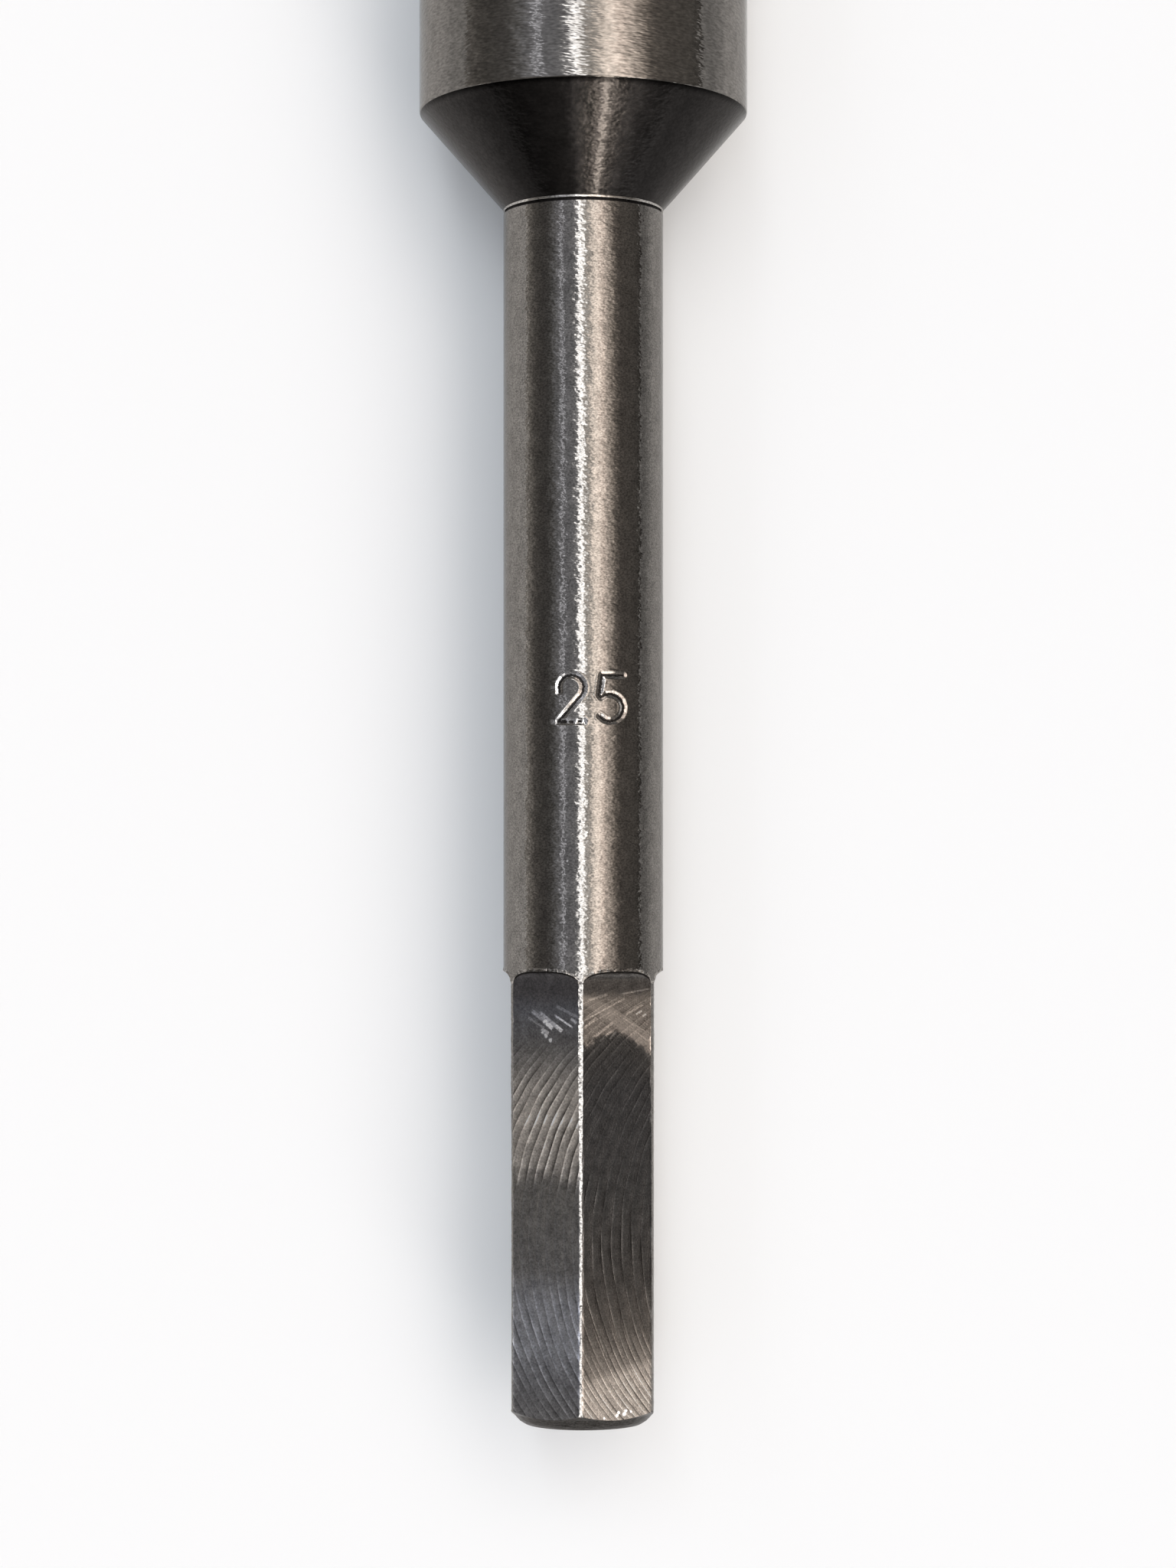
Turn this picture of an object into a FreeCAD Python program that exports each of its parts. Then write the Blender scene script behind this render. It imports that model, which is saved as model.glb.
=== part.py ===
import FreeCAD, Part
import math
import os

# Auger bit for wood, with a hexagonal machine shank. It is one piece of steel.
# It is built along its own axis: "along" is the distance from the end of the shank
# towards the point, and angles turn right-handed about that direction. The finished
# bit is then laid on its side. Lengths are in millimetres, angles in degrees.

# Whole bit
total_length = 320.0
body_diameter = 25.0

# Shank
shank_diameter = 12.2
round_shank_length = 58.0
hexagon_length = 34.5
hexagon_across_flats = 10.8
hexagon_runout_radius = 1.0
hexagon_turn = 1.8
end_chamfer = 1.15

# Neck and collar
neck_bead_width = 0.2
neck_groove_width = 0.2
neck_groove_depth = 0.12
cone_angle_from_axis = 41.2
collar_edge_radius = 0.25
plain_collar_length = 18.0

# Helical flute
flute_pitch = 36.0
land_width = 13.0
core_diameter = 8.4
lifting_face_root_radius = 3.0
flute_runout_turn = 120.0

# Cutting head
lip_clearance_angle = 14.0
lip_lead_angle = 9.0
ridge_ahead_of_lip = 1.0
spur_height = 2.0
spur_root_depth = 3.0
spur_root_thickness = 3.2
spur_crest_thickness = 1.3
spur_crest_angle = 30.0
spur_behind_lip = 42.0

# Lead screw
screw_length = 12.0
screw_base_diameter = 7.2
screw_point_diameter = 0.6
thread_pitch = 2.0
thread_depth = 0.85
thread_root_width = 1.1

# Sizes and places that follow from the ones above
body_radius = body_diameter / 2
shank_radius = shank_diameter / 2
core_radius = core_diameter / 2
flute_width = flute_pitch - land_width
flute_depth = body_radius - core_radius
neck_along = hexagon_length + round_shank_length
cone_length = (body_radius - shank_radius) / math.tan(math.radians(cone_angle_from_axis))
collar_along = neck_along + cone_length
lip_along = total_length - screw_length
crown_along = lip_along + spur_height

# How far a cutting shape reaches past the metal it cuts, and how finely a helix is laid out
overrun = 2.0
reach = 2 * body_diameter
sections_per_turn = 12

centre = FreeCAD.Vector(0, 0, 0)
across = FreeCAD.Vector(1, 0, 0)
axis_line = FreeCAD.Vector(0, 0, 1)


def at(radius, angle, along):
    """A point from its distance to the axis, its angle and its place along the bit."""
    turn = math.radians(angle)
    return FreeCAD.Vector(radius * math.cos(turn), radius * math.sin(turn), along)


def turned_blank():
    """The bit as it leaves the lathe: chamfered shank, grooved neck, cone and body."""
    slope = math.radians(cone_angle_from_axis)
    edge_reach = collar_edge_radius * math.tan(slope / 2)
    edge_centre = body_radius - collar_edge_radius
    groove_end = neck_along - neck_bead_width
    groove_start = groove_end - neck_groove_width
    groove_radius = shank_radius - neck_groove_depth

    cone_end = at(body_radius - edge_reach * math.sin(slope), 0,
                  collar_along - edge_reach * math.cos(slope))
    edge_middle = at(edge_centre + collar_edge_radius * math.cos(slope / 2), 0,
                     collar_along + edge_reach - collar_edge_radius * math.sin(slope / 2))
    body_start = at(body_radius, 0, collar_along + edge_reach)

    shank_outline = [
        at(0, 0, 0),
        at(shank_radius - end_chamfer, 0, 0),
        at(shank_radius, 0, end_chamfer),
        at(shank_radius, 0, groove_start),
        at(groove_radius, 0, groove_start),
        at(groove_radius, 0, groove_end),
        at(shank_radius, 0, groove_end),
        at(shank_radius, 0, neck_along),
        cone_end,
    ]
    body_outline = [
        body_start,
        at(body_radius, 0, crown_along),
        at(0, 0, crown_along),
        at(0, 0, 0),
    ]
    edges = Part.makePolygon(shank_outline).Edges
    edges.append(Part.Arc(cone_end, edge_middle, body_start).toShape())
    edges += Part.makePolygon(body_outline).Edges
    return Part.Face(Part.Wire(edges)).revolve(centre, axis_line, 360)


def flute_section(angle, lift):
    """The space the chips travel in, cut by the plane through the axis at an angle.

    The lifting face is square to the axis, with a small radius at the core. The far
    side sweeps up from the core in one large radius. Lift raises the section out of
    the body.
    """
    lifting_face = lip_along + flute_pitch * angle / 360
    floor = core_radius + lift
    outside = body_radius + overrun + lift
    root = lifting_face_root_radius
    sweep = min(flute_depth + overrun / 2, flute_width - root - overrun / 2)
    diagonal = 1 - math.sqrt(0.5)

    def corner(radius, behind):
        return at(radius, angle, lifting_face - behind)

    face_top = corner(outside, 0)
    root_top = corner(floor + root, 0)
    root_middle = corner(floor + root * diagonal, root * diagonal)
    root_end = corner(floor, root)
    sweep_start = corner(floor, flute_width - sweep)
    sweep_middle = corner(floor + sweep * diagonal, flute_width - sweep * diagonal)
    sweep_end = corner(floor + sweep, flute_width)
    far_top = corner(outside, flute_width)
    edges = [
        Part.makeLine(face_top, root_top),
        Part.Arc(root_top, root_middle, root_end).toShape(),
        Part.makeLine(root_end, sweep_start),
        Part.Arc(sweep_start, sweep_middle, sweep_end).toShape(),
        Part.makeLine(sweep_end, far_top),
        Part.makeLine(far_top, face_top),
    ]
    return Part.Wire(edges)


def flute_turns():
    """One right-handed flute, turn by turn, from its rise out of the collar to the lip."""
    degrees_per_length = 360 / flute_pitch
    flute_start = collar_along + plain_collar_length + flute_width
    first_angle = (flute_start - lip_along) * degrees_per_length
    last_angle = (flute_width + spur_height + overrun) * degrees_per_length
    full_rise = flute_depth + overrun
    turns = math.ceil((last_angle - first_angle) / 360)
    step = (last_angle - first_angle) / (turns * sections_per_turn)
    sections = []
    for index in range(turns * sections_per_turn + 1):
        turned = index * step
        runout = max(0, 1 - turned / flute_runout_turn)
        lift = full_rise * (1 - math.cos(math.pi * runout)) / 2
        sections.append(flute_section(first_angle + turned, lift))
    starts = range(0, turns * sections_per_turn, sections_per_turn)
    return [Part.makeLoft(sections[start:start + sections_per_turn + 1], True, False)
            for start in starts]


def space_above_lip(slope):
    """The space above a plane that slopes away from a ridge just ahead of the lip."""
    space = Part.makeBox(2 * reach, 2 * reach, reach, FreeCAD.Vector(-reach, -reach, 0))
    space.rotate(centre, across, slope)
    space.translate(FreeCAD.Vector(0, ridge_ahead_of_lip, lip_along))
    return space


def spur():
    """The scoring spur: a fin on the rim behind the lip, thin at its falling crest."""
    root_along = lip_along - spur_root_depth
    height = crown_along - root_along
    foot = FreeCAD.Vector(0, 0, root_along)
    rim = Part.makeCylinder(body_radius + overrun, height, foot)
    hollow = Part.makeCone(body_radius - spur_root_thickness,
                           body_radius - spur_crest_thickness, height, foot)
    below_crest = Part.makeBox(reach, 2 * reach, reach, FreeCAD.Vector(0, -reach, -reach))
    below_crest.rotate(centre, across, spur_crest_angle)
    behind_edge = Part.makeBox(reach, reach, 2 * reach, FreeCAD.Vector(0, -reach, -reach))
    fin = below_crest.common(behind_edge)
    fin.translate(FreeCAD.Vector(0, 0, crown_along))
    fin.rotate(centre, axis_line, -spur_behind_lip)
    return rim.cut(hollow).common(fin)


def lead_screw_core():
    """The tapered core of the lead screw, seated in the core of the bit."""
    point_radius = screw_point_diameter / 2
    base_radius = screw_base_diameter / 2 - thread_depth
    taper = (base_radius - point_radius) / screw_length
    return Part.makeCone(base_radius + taper * overrun, point_radius,
                         screw_length + overrun, FreeCAD.Vector(0, 0, lip_along - overrun))


def thread_section(height):
    """The ridge of the thread at a height above the lip. It shrinks to the point."""
    left = 1 - max(0, height) / screw_length
    point_radius = screw_point_diameter / 2
    root = point_radius + (screw_base_diameter / 2 - thread_depth - point_radius) * left
    crest = root + thread_depth * left
    half_width = thread_root_width * (1 + left) / 4
    sunk = thread_depth * left / 3
    spread = half_width * (1 + sunk / (crest - root))
    angle = 360 * height / thread_pitch
    along = lip_along + height
    corners = [
        at(root - sunk, angle, along - spread),
        at(crest, angle, along),
        at(root - sunk, angle, along + spread),
    ]
    return Part.makePolygon(corners + corners[:1])


def lead_screw_thread():
    """One right-handed thread, from inside the head to just short of the point."""
    first_height = -thread_pitch
    last_height = screw_length - thread_pitch / 2
    turns = (last_height - first_height) / thread_pitch
    count = math.ceil(turns * sections_per_turn)
    step = (last_height - first_height) / count
    sections = [thread_section(first_height + step * index) for index in range(count + 1)]
    return Part.makeLoft(sections, True, False)


def hexagon_cutter(angle):
    """Cuts one flat of the hexagon, with a concave run-out at its upper end."""
    flat = hexagon_across_flats / 2
    radius = hexagon_runout_radius
    outside = flat + radius + shank_radius
    diagonal = 1 - math.sqrt(0.5)
    start = at(flat, 0, -overrun)
    runout_start = at(flat, 0, hexagon_length - radius)
    runout_middle = at(flat + radius * diagonal, 0, hexagon_length - radius * diagonal)
    runout_end = at(flat + radius, 0, hexagon_length)
    top = at(outside, 0, hexagon_length)
    bottom = at(outside, 0, -overrun)
    edges = [
        Part.makeLine(start, runout_start),
        Part.Arc(runout_start, runout_middle, runout_end).toShape(),
        Part.makeLine(runout_end, top),
        Part.makeLine(top, bottom),
        Part.makeLine(bottom, start),
    ]
    cutter = Part.Face(Part.Wire(edges)).extrude(FreeCAD.Vector(0, 2 * shank_diameter, 0))
    cutter.translate(FreeCAD.Vector(0, -shank_diameter, 0))
    cutter.rotate(centre, axis_line, angle)
    return cutter


def cut_head(bit):
    """Grinds the lip and its clearance, and leaves the spur standing."""
    waste = space_above_lip(lip_clearance_angle).fuse(space_above_lip(-lip_lead_angle))
    return bit.cut(waste.cut(spur()))


def heavy_side_down(bit):
    """Turns the bit about its axis to the way up in which it comes to rest."""
    heavy = bit.CenterOfMass
    down = 90
    bit.rotate(centre, axis_line, down - math.degrees(math.atan2(heavy.y, heavy.x)))
    return bit


def cut_hexagon(bit):
    """Mills six flats. One corner of the hexagon faces nearly straight up."""
    up = -90
    first_flat = up - hexagon_turn + 30
    for index in range(6):
        bit = bit.cut(hexagon_cutter(first_flat + 60 * index))
    return bit


def laid_down(bit):
    """Lays the bit on its side, its point towards +Y and its middle over the origin."""
    bit.rotate(centre, across, -90)
    bit.translate(FreeCAD.Vector(0, -total_length / 2, body_radius))
    return bit


fluted = turned_blank().cut(flute_turns())
headed = cut_head(fluted)
with_screw = headed.fuse([lead_screw_core(), lead_screw_thread()])
auger_bit = laid_down(cut_hexagon(heavy_side_down(with_screw.Solids[0])))

parts_folder = "parts"
os.makedirs(parts_folder, exist_ok=True)
auger_bit.exportStep(os.path.join(parts_folder, "auger_bit.step"))
print("solids", len(auger_bit.Solids), "faces", len(auger_bit.Faces), "valid", auger_bit.isValid())
print("box", auger_bit.BoundBox)
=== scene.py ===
from math import acos, ceil, cos, degrees, hypot, pi, radians, sin, tan

import bmesh
import bpy
import numpy as np
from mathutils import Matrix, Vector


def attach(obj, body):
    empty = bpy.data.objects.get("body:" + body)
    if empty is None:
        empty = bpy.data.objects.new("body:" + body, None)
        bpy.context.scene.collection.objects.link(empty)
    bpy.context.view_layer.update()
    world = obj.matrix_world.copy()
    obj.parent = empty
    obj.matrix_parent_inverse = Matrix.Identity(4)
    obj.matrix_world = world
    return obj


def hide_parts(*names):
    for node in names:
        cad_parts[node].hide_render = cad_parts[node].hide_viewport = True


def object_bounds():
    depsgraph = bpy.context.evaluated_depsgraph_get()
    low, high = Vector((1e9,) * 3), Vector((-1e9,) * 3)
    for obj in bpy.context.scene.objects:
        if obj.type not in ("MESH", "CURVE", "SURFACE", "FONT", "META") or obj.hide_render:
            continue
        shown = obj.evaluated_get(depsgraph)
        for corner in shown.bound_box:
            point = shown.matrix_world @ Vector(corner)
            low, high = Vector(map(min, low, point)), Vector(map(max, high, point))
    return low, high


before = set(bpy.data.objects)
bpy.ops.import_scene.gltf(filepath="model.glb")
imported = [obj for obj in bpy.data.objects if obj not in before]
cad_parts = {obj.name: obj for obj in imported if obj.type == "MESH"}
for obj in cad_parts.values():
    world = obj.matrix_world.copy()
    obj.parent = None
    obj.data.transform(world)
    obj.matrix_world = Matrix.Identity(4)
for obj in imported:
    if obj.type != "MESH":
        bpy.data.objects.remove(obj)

# Auger bit for wood, seen from straight above the shank. The bit lies along Y with its
# point towards +Y. Its surface is laid out by the distance along the bit from the end
# of the shank, and by the angle about the axis from straight up, positive towards +X.
# Sizes here are in millimetres and degrees, and become metres where a mesh is made.

cad_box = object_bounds()
metres = 0.001
low, high = (np.array(corner) / metres for corner in cad_box)

# Whole bit
total_length = high[1] - low[1]
body_radius = 12.499
axis_height = 12.5
shank_end = low[1]

# Shank
shank_radius = 6.1
hexagon_length = 34.5
flat_height = 5.366
runout_radius = 1.0
first_flat_angle = 28.2
half_flat_angle = degrees(acos(flat_height / shank_radius))
runout_start = hexagon_length - runout_radius
# The rounded chamfer at the end, by its radius and the distance from the end
chamfer_radii = (4.5, 4.95, 5.385, 6.1)
chamfer_places = (0.0, 0.28, 0.8, 1.2)

# The cutter that milled the flats, and how far it moved between one mark and the next
cutter_radius = 19.8
cutter_along = 14.3
cutter_feed = (0.84, 0.76, 0.76, 0.76, 0.76, 0.76)
mark_depth = 0.016

# Neck, cone and collar
neck_along = 92.5
bead_width = 0.2
bead_rounding = 0.04
groove_width = 0.24
groove_wall = 0.03
groove_depth = 0.16
groove_end = neck_along - bead_width
groove_start = groove_end - groove_width
cone_angle = 41.2
collar_edge_radius = 0.25
cone_length = (body_radius - shank_radius) / tan(radians(cone_angle))
collar_along = neck_along + cone_length
# Above this ring the rows are wound round the bit with the flute
ring_along = collar_along + 1.5

# Helical flute
flute_pitch = 36.0
flute_width = 23.0
core_radius = 4.2
root_radius = 3.0
sweep_radius = 9.3
plain_collar_length = 18.0
runout_turn = 120.0
full_lift = 10.3
screw_length = 12.0
lip_along = total_length - screw_length
head_turn = 56.35
blank_end = lip_along + 5.0

# Cutting head and lead screw
clearance_angle = 14.0
lead_angle = 9.0
ridge_ahead = 1.0
spur_height = 2.0
spur_root_depth = 3.6
spur_root_thickness = 3.2
spur_crest_thickness = 1.3
spur_crest_angle = 30.0
spur_behind_lip = 42.0
screw_base_radius = 3.6
screw_point_radius = 0.3
screw_seat = 2.0
thread_pitch = 2.0
thread_depth = 0.85
thread_root_width = 1.1
# How far the solids that shape the head go, and how far one goes through another
outside = 40.0
overlap = 1e-3

# How finely the surface is divided, and how near points of the rows are one. What the
# booleans leave below the last size is merged.
coarse_angle = 3.5
fine_angle = 0.52
fine_from, fine_to = -60.5, 57.0
hexagon_row = 0.23
number_row = 0.05
same_point = 1e-5
sliver_size = 0.001

# Shading is smooth up to an angle, and flat on ground faces from an area in square
# millimetres
smooth_up_to = 15.0
flat_from_area = 3.0

# The size stamped on the shank, drawn with plain strokes: its rows, its base and top, the
# angles it lies in, the groove and its rim, and from which depth its wall is painted lighter
# as a highlight and its floor painted dark as shade. Where the die was worn the groove is uneven.
number_from, number_to = 52.6, 57.3
number_base, number_top = 53.13, 56.62
number_centre, number_reach = 6.5, 27.0
stamp_depth = 0.11
stamp_half_width = 0.275
stamp_rim, rim_gap, rim_width = 0.014, 0.07, 0.06
stamp_edge = 0.012
stamp_floor = 0.08
stamp_uneven, stamp_uneven_worn = 0.04, 0.3
worn_up_to, worn_from, worn_to = 53.4, -1.7, 0.3
far_away = 9.0

# By how many degrees the edges of the flats wander, and how much wider the flats are near
# the end, at places along them
edge_wander, edge_wave, edge_limit = 0.16, 0.1, 0.35
narrow_places, narrow_angles = (8, 12, 21, 25), (0.8, 0.65, 0.6, 0)

# The run-out of the flats is painted dark as shade from this share of it on. The burr above
# it is in rows, each with its distance from the edge and how far a lump moves it on and lifts it.
crease_from = 0.85
burr_spread = 1.6
burr_rows = [(0.0, 0.03, 0.03), (0.1, 0.05, 0.02), (0.22, 0.05, 0.0)]
plain_shank_from = hexagon_length + 0.6

random = np.random.default_rng(25)


def arc_points(centre, radius, start, end, count=12):
    """Points on a circular arc, from one angle to another in degrees."""
    turns = np.radians(np.linspace(start, end, count))
    return [(centre[0] + radius * cos(turn), centre[1] + radius * sin(turn))
            for turn in turns]


def number_strokes():
    """The strokes of the number 25, as lines of points across and along the shank."""
    two = arc_points((-0.92, number_top - 0.96), 0.94, 198, -38)
    two += [(-1.9, number_base), (0.02, number_base)]
    five = [(3.0, number_top), (1.42, number_top), (1.2, number_top - 1.52)]
    five += arc_points((2.02, number_base + 1.06), 1.02, 132, -140)
    return [two, five]


def distance_to_strokes(across, along):
    """How far each point of the surface is from the nearest stroke."""
    nearest = np.full(across.shape, far_away)
    for stroke in number_strokes():
        for start, end in zip(stroke[:-1], stroke[1:]):
            run = np.subtract(end, start)
            share = ((across - start[0]) * run[0] + (along - start[1]) * run[1]) / (run @ run)
            share = np.clip(share, 0, 1)
            gap = np.hypot(across - start[0] - share * run[0], along - start[1] - share * run[1])
            nearest = np.minimum(nearest, gap)
    return nearest


def stamped(angles, along):
    """How deep the stamp goes at each point. Its rim stands up a little."""
    gap = distance_to_strokes(shank_radius * np.sin(np.radians(angles)), along)
    gap = np.where(np.abs(angles) < 90, gap, far_away)
    across = shank_radius * np.radians(angles)
    uneven = np.sin(6.1 * across + 3.7 * along) * np.sin(5.3 * along - 4.4 * across)
    patchy = (along < worn_up_to) & (across < worn_to) & (across > worn_from)
    groove = stamp_depth * np.clip(1.04 - np.hypot(gap / stamp_half_width, 0.2), 0, 1)
    groove *= 1 + np.where(patchy, stamp_uneven_worn, stamp_uneven) * uneven
    rim = stamp_rim * np.exp(-((gap - stamp_half_width - rim_gap) / rim_width) ** 2)
    return groove - rim


def column_angles():
    """Angles of the columns, and which of them are used where nothing fine is shown.

    There is one on each edge of the hexagon, and they are closer on the upper side.
    """
    marks = [first_flat_angle + 60 * flat + side * half_flat_angle
             for flat in range(6) for side in (-1, 1)]
    marks = sorted((mark + 180) % 360 - 180 for mark in marks)
    angles = []
    plain = []
    for start, end in zip(marks, marks[1:] + [marks[0] + 360]):
        count = ceil((end - start) / coarse_angle - 1e-6)
        step = (end - start) / count
        for place in start + step * np.arange(count):
            close = fine_from <= place + step / 2 <= fine_to
            parts = ceil(step / fine_angle) if close else 1
            angles += [place + step * part / parts for part in range(parts)]
            plain += [part == 0 for part in range(parts)]
    return np.array(angles), np.array(plain)


columns, plain_columns = column_angles()
all_columns = np.ones(len(columns), bool)
number_columns = plain_columns | (np.abs(columns - number_centre) < number_reach)
flat_index = np.round((columns - first_flat_angle) / 60).astype(int) % 6
from_flat = (columns - first_flat_angle + 30) % 60 - 30
on_edge = np.abs(np.abs(from_flat) - half_flat_angle) < 1e-6
on_flat = np.abs(from_flat) < half_flat_angle + 1e-6


class Surface:
    """Rows of points round the bit, from the end of the shank towards the point."""

    def __init__(self):
        self.along = []
        self.radius = []
        self.angle = []
        self.finish = []
        self.used = []

    def add(self, along, radius, finish, angle=None, used=plain_columns):
        """One row. The finish is that of the faces between it and the row before."""
        whole = np.ones(len(columns))
        self.along.append(along * whole)
        self.radius.append(radius * whole)
        self.angle.append(columns if angle is None else angle)
        self.finish.append(finish)
        self.used.append(used)


def flat_radius(height):
    """Distance from the axis to a flat at a height, no further out than the stock."""
    return np.minimum(shank_radius, height / np.cos(np.radians(from_flat)))


def mark_count(across, along, feed):
    """How many feeds of the cutter lie before each point, along its arcs."""
    reach = np.sqrt(np.maximum(cutter_radius ** 2 - (along - cutter_along) ** 2, 0))
    wander = 0.04 * np.sin(1.1 * along + 1.7 * across) + 0.05 * np.sin(0.5 * along - across)
    return (across + reach) / feed + wander


def milled_height(along):
    """Height of each flat at a distance along, with the arcs left by the cutter."""
    across = flat_height * np.tan(np.radians(from_flat))
    share = mark_count(across, along, np.array(cutter_feed)[flat_index]) % 1
    fade = np.clip((hexagon_length - 2.0 - along) / 3.0, 0, 1)
    inside = on_flat & ~on_edge
    return flat_height - np.where(inside, mark_depth * fade * 4 * share * (1 - share), 0)


def add_shank_end(surface):
    """The faced end, its chamfer, and the start of the flats."""
    for share in (0.3, 0.65, 1.0):
        surface.add(0.0, chamfer_radii[0] * share, "end")
    edge = flat_radius(flat_height)
    for share in (0.2, 0.4, 0.6, 0.8, 1.0):
        radius = chamfer_radii[0] + (edge - chamfer_radii[0]) * share
        surface.add(np.interp(radius, chamfer_radii, chamfer_places), radius, "end",
                    used=all_columns)


def add_hexagon(surface):
    """The flats. The narrow strips left between them are not quite even in width."""
    start = np.interp(flat_radius(flat_height), chamfer_radii, chamfer_places)
    count = round(runout_start / hexagon_row)
    for share in np.linspace(0, 1, count + 1)[1:]:
        along = start + (runout_start - start) * share
        wander = random.normal(0, edge_wander, len(columns)) + edge_wave * np.sin(along * 2.1)
        narrowed = np.sign(from_flat) * np.interp(along, narrow_places, narrow_angles)
        moved = (np.clip(wander, -edge_limit, edge_limit) + narrowed)[on_edge]
        moved = np.interp(columns, columns[on_edge], moved, period=360)
        angle = columns + np.where(on_flat & ~on_edge, 0, moved)
        surface.add(along, flat_radius(milled_height(along)), "flats", angle, all_columns)


def add_runout(surface):
    """The concave run-out of the flats, its crease painted dark as shade, and a burred edge."""
    stock = shank_radius * np.cos(np.radians(from_flat))
    reach = np.clip((flat_height + runout_radius - stock) / runout_radius, -1, 1)
    last_turn = np.where(on_flat, np.arccos(reach), 0)
    for share in np.linspace(0, 1, 11)[1:]:
        turn = last_turn * share
        height = flat_height + runout_radius * (1 - np.cos(turn))
        surface.add(runout_start + runout_radius * np.sin(turn), flat_radius(height),
                    "crease" if share > crease_from else "flats", used=all_columns)
    edge = runout_start + runout_radius * np.sin(last_turn)
    lumps = np.convolve(random.normal(0, burr_spread, len(columns)), np.ones(3) / 3, "same")
    rough = np.clip(lumps, 0, 2) * np.clip(last_turn, 0, 1)
    for place, moved, lifted in burr_rows:
        surface.add(edge + place + moved * rough, shank_radius + lifted * rough, "burr",
                    used=all_columns)


def add_round_shank(surface):
    """The round shank with the stamped size, up to the groove below the neck."""
    for along in np.linspace(plain_shank_from, number_from, 12):
        surface.add(along, shank_radius, "turned")
    count = round((number_to - number_from) / number_row)
    for along in np.linspace(number_from, number_to, count + 1)[1:]:
        surface.add(along, shank_radius - stamped(columns, along), "number",
                    used=number_columns)
    for along in np.linspace(number_to, groove_start, 16)[1:]:
        surface.add(along, shank_radius, "turned")


def add_neck(surface):
    """The groove, the bead above it, the cone and the edge of the collar."""
    surface.add(groove_start + groove_wall, shank_radius - groove_depth, "groove")
    surface.add(groove_end - groove_wall, shank_radius - groove_depth, "groove")
    for lean in np.linspace(-80, 80, 9):
        turn = radians(lean)
        surface.add(neck_along - bead_width / 2 * (1 - sin(turn)),
                    shank_radius - bead_rounding * (1 - cos(turn)), "bead")
    slope = radians(cone_angle)
    edge_reach = collar_edge_radius * tan(slope / 2)
    cone_end = collar_along - edge_reach * cos(slope)
    cone_end_radius = body_radius - edge_reach * sin(slope)
    for share in np.linspace(0, 1, 8)[1:]:
        surface.add(neck_along + (cone_end - neck_along) * share,
                    shank_radius + (cone_end_radius - shank_radius) * share, "cone")
    for share in np.linspace(0, 1, 6)[1:]:
        lean = slope * (1 - share)
        surface.add(collar_along + edge_reach - collar_edge_radius * sin(lean),
                    body_radius - collar_edge_radius * (1 - cos(lean)), "collar")
    surface.add(ring_along, body_radius, "collar")


def flute_profile(lift):
    """One pass of the flute and the land above it, as distances behind the lifting face.

    Returns the distances and radii of the same points for each column.
    """
    floor = core_radius + lift
    behind = []
    radius = []
    sweep_centre = flute_width - sweep_radius
    sweep_end = np.arccos(np.clip(1 - (body_radius - floor) / sweep_radius, -1, 1))
    for share in np.linspace(1, 0, 10):
        behind.append(sweep_centre + sweep_radius * np.sin(sweep_end * share))
        radius.append(floor + sweep_radius * (1 - np.cos(sweep_end * share)))
    for place in np.linspace(sweep_centre, root_radius, 5)[1:]:
        behind.append(np.full_like(floor, place))
        radius.append(floor)
    root_end = np.arccos(np.clip(1 - (body_radius - floor) / root_radius, 0, 1))
    for share in np.linspace(0, 1, 9)[1:]:
        behind.append(root_radius * (1 - np.sin(root_end * share)))
        radius.append(floor + root_radius * (1 - np.cos(root_end * share)))
    root_top = radius[-1]
    for share in (1 / 3, 2 / 3, 1):
        behind.append(behind[-1])
        radius.append(root_top + (np.maximum(body_radius, root_top) - root_top) * share)
    land = flute_pitch - flute_width
    for share in (0.04, 0.3, 0.65, 0.96):
        behind.append(np.full_like(floor, -land * share))
        radius.append(np.full_like(floor, body_radius))
    return np.array(behind), np.minimum(np.array(radius), body_radius)


def add_fluted_body(surface):
    """The rest of the collar and the fluted body, wound round the axis as a helix.

    Each row is a full turn long, and goes on as the row one pass higher. Returns how
    many rows one pass has.
    """
    flute_start = collar_along + plain_collar_length + flute_width
    first_angle = (flute_start - lip_along) * 360 / flute_pitch
    unturned = columns - head_turn
    first_pass = int((ring_along - lip_along) // flute_pitch) - 1
    for turn in range(first_pass, 2):
        angle = unturned + 360 * turn
        left = np.clip(1 - (angle - first_angle) / runout_turn, 0, 1)
        behind, radius = flute_profile(full_lift * (1 - np.cos(pi * left)) / 2)
        for row in range(len(behind)):
            along = lip_along + flute_pitch * angle / 360 - behind[row]
            surface.add(along, radius[row], "wound")
    return len(behind)


def clamp_ends(along, radius, first):
    """Draws what lies before the ring or past the end of the blank onto its edge."""
    body = along[first:]
    before = body < ring_along
    radius[first:][before] = body_radius
    body[before] = ring_along
    for column in range(along.shape[1]):
        past = int(np.argmax(body[:, column] > blank_end))
        run = body[past, column] - body[past - 1, column]
        share = (blank_end - body[past - 1, column]) / run
        inner = radius[first + past - 1, column]
        edge = inner + (radius[first + past, column] - inner) * share
        radius[first + past:, column] = edge
        body[past:, column] = blank_end


finish_names = ["turned", "stamp", "collar", "groove", "bead", "cone", "end", "crease", "burr"]
finish_names += [f"flat_{index}" for index in range(6)]
finish_names += ["flute", "ground"]
ground_index = finish_names.index("ground")


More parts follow.
